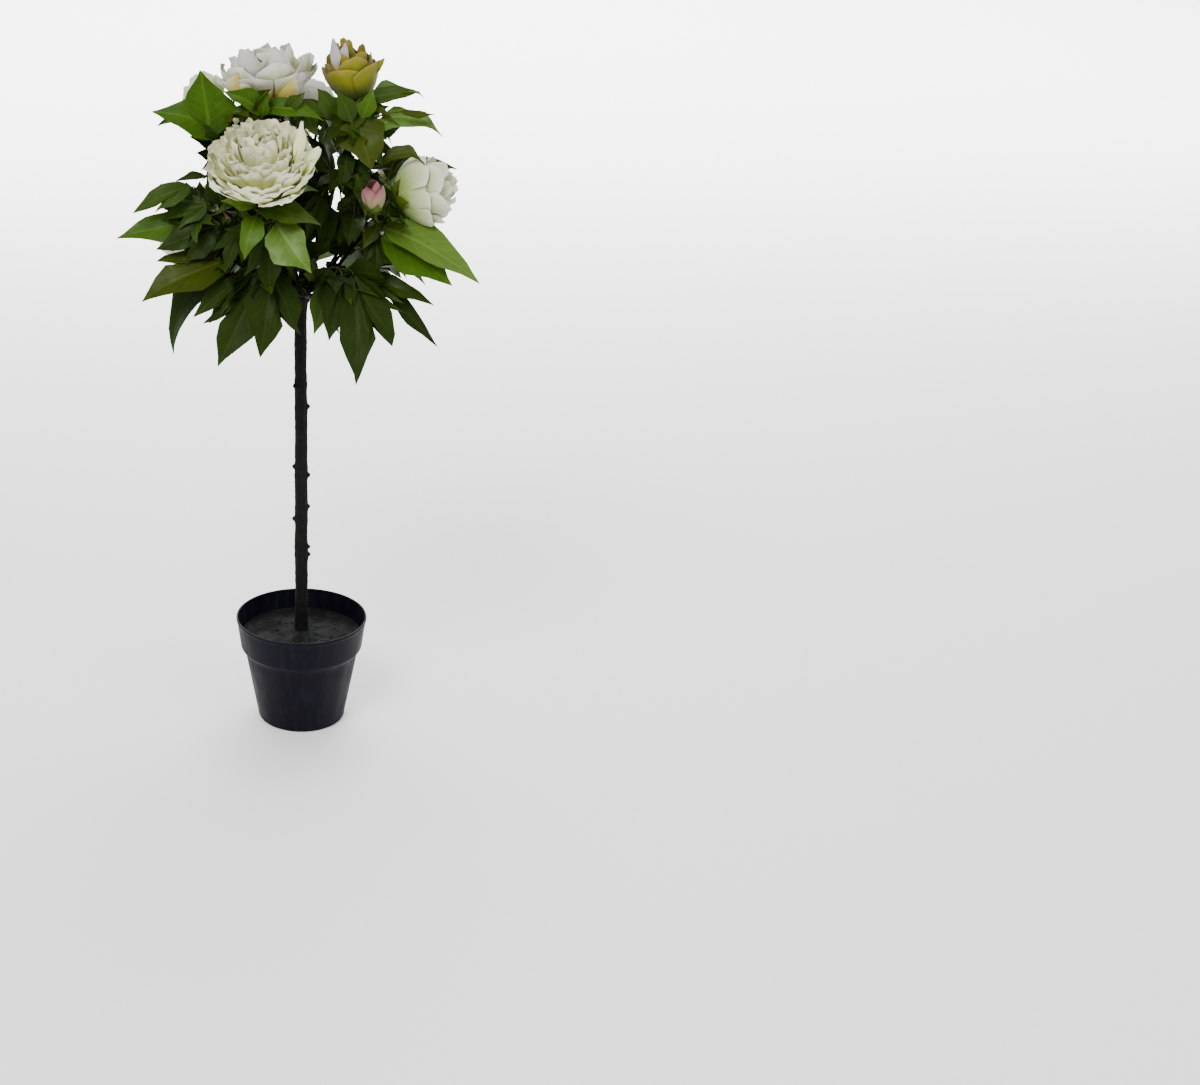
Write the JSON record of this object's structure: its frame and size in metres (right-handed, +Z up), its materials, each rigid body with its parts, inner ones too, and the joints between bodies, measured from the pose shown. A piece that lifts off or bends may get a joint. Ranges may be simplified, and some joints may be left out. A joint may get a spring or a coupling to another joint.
{
  "type": "artificial peony standard tree in pot",
  "caption": "Artificial standard tree: bare dark stem in a plastic nursery pot, with a round open head of lobed leaves, full double blooms and buds.",
  "frame": {"origin": "centre of the pot's flat underside", "axes": "+Z up along the stem, -Y towards the front of the head, +X to the right seen from the front"},
  "size_m": [0.4206, 0.3804, 0.9019],
  "materials": {
    "pot": "moulded black plastic, satin with a faint blue cast",
    "ballast": "rough cast, dark greenish grey",
    "stem": "near-black brown bark, matt and knobbly",
    "bough": "dark olive brown, matt",
    "leaf": "coated cloth leaf, soft sheen",
    "petal": "cream-white cloth petal, matt",
    "bud": "pink-tipped cloth bud, matt"
  },
  "bodies": {
    "root": {"pot": "pot", "ballast": "ballast", "stem": "stem", "bough_top_left": "bough", "bough_top_centre": "bough", "bough_top_right": "bough", "bough_inner_right": "bough", "bough_right": "bough", "bough_left": "bough", "bough_left_low": "bough", "bough_low_left": "bough", "bough_front": "bough", "bough_low_right": "bough", "bough_right_low": "bough", "bough_back_top_left": "bough", "bough_back_top": "bough", "bough_back_right": "bough", "bough_back": "bough", "bough_back_left": "bough", "bough_back_low_left": "bough", "bough_back_low_right": "bough", "leaves_top_left": "leaf", "leaves_top_centre": "leaf", "leaves_top_right": "leaf", "leaves_inner_right": "leaf", "leaves_right": "leaf", "leaves_left": "leaf", "leaves_left_low": "leaf", "leaves_low_left": "leaf", "leaves_front": "leaf", "leaves_low_right": "leaf", "leaves_right_low": "leaf", "leaves_back_top_left": "leaf", "leaves_back_top": "leaf", "leaves_back_right": "leaf", "leaves_back": "leaf", "leaves_back_left": "leaf", "leaves_back_low_left": "leaf", "leaves_back_low_right": "leaf", "bloom_front": "petal", "bloom_top_centre": "petal", "bloom_top_right": "petal", "bloom_right": "petal", "bloom_back_left": "petal", "bloom_back_top_left": "petal", "bloom_back_right": "petal", "bloom_back_top": "petal", "bloom_back": "petal", "bud_front_right": "bud", "bud_back_left": "bud"}
  },
  "joints": []
}
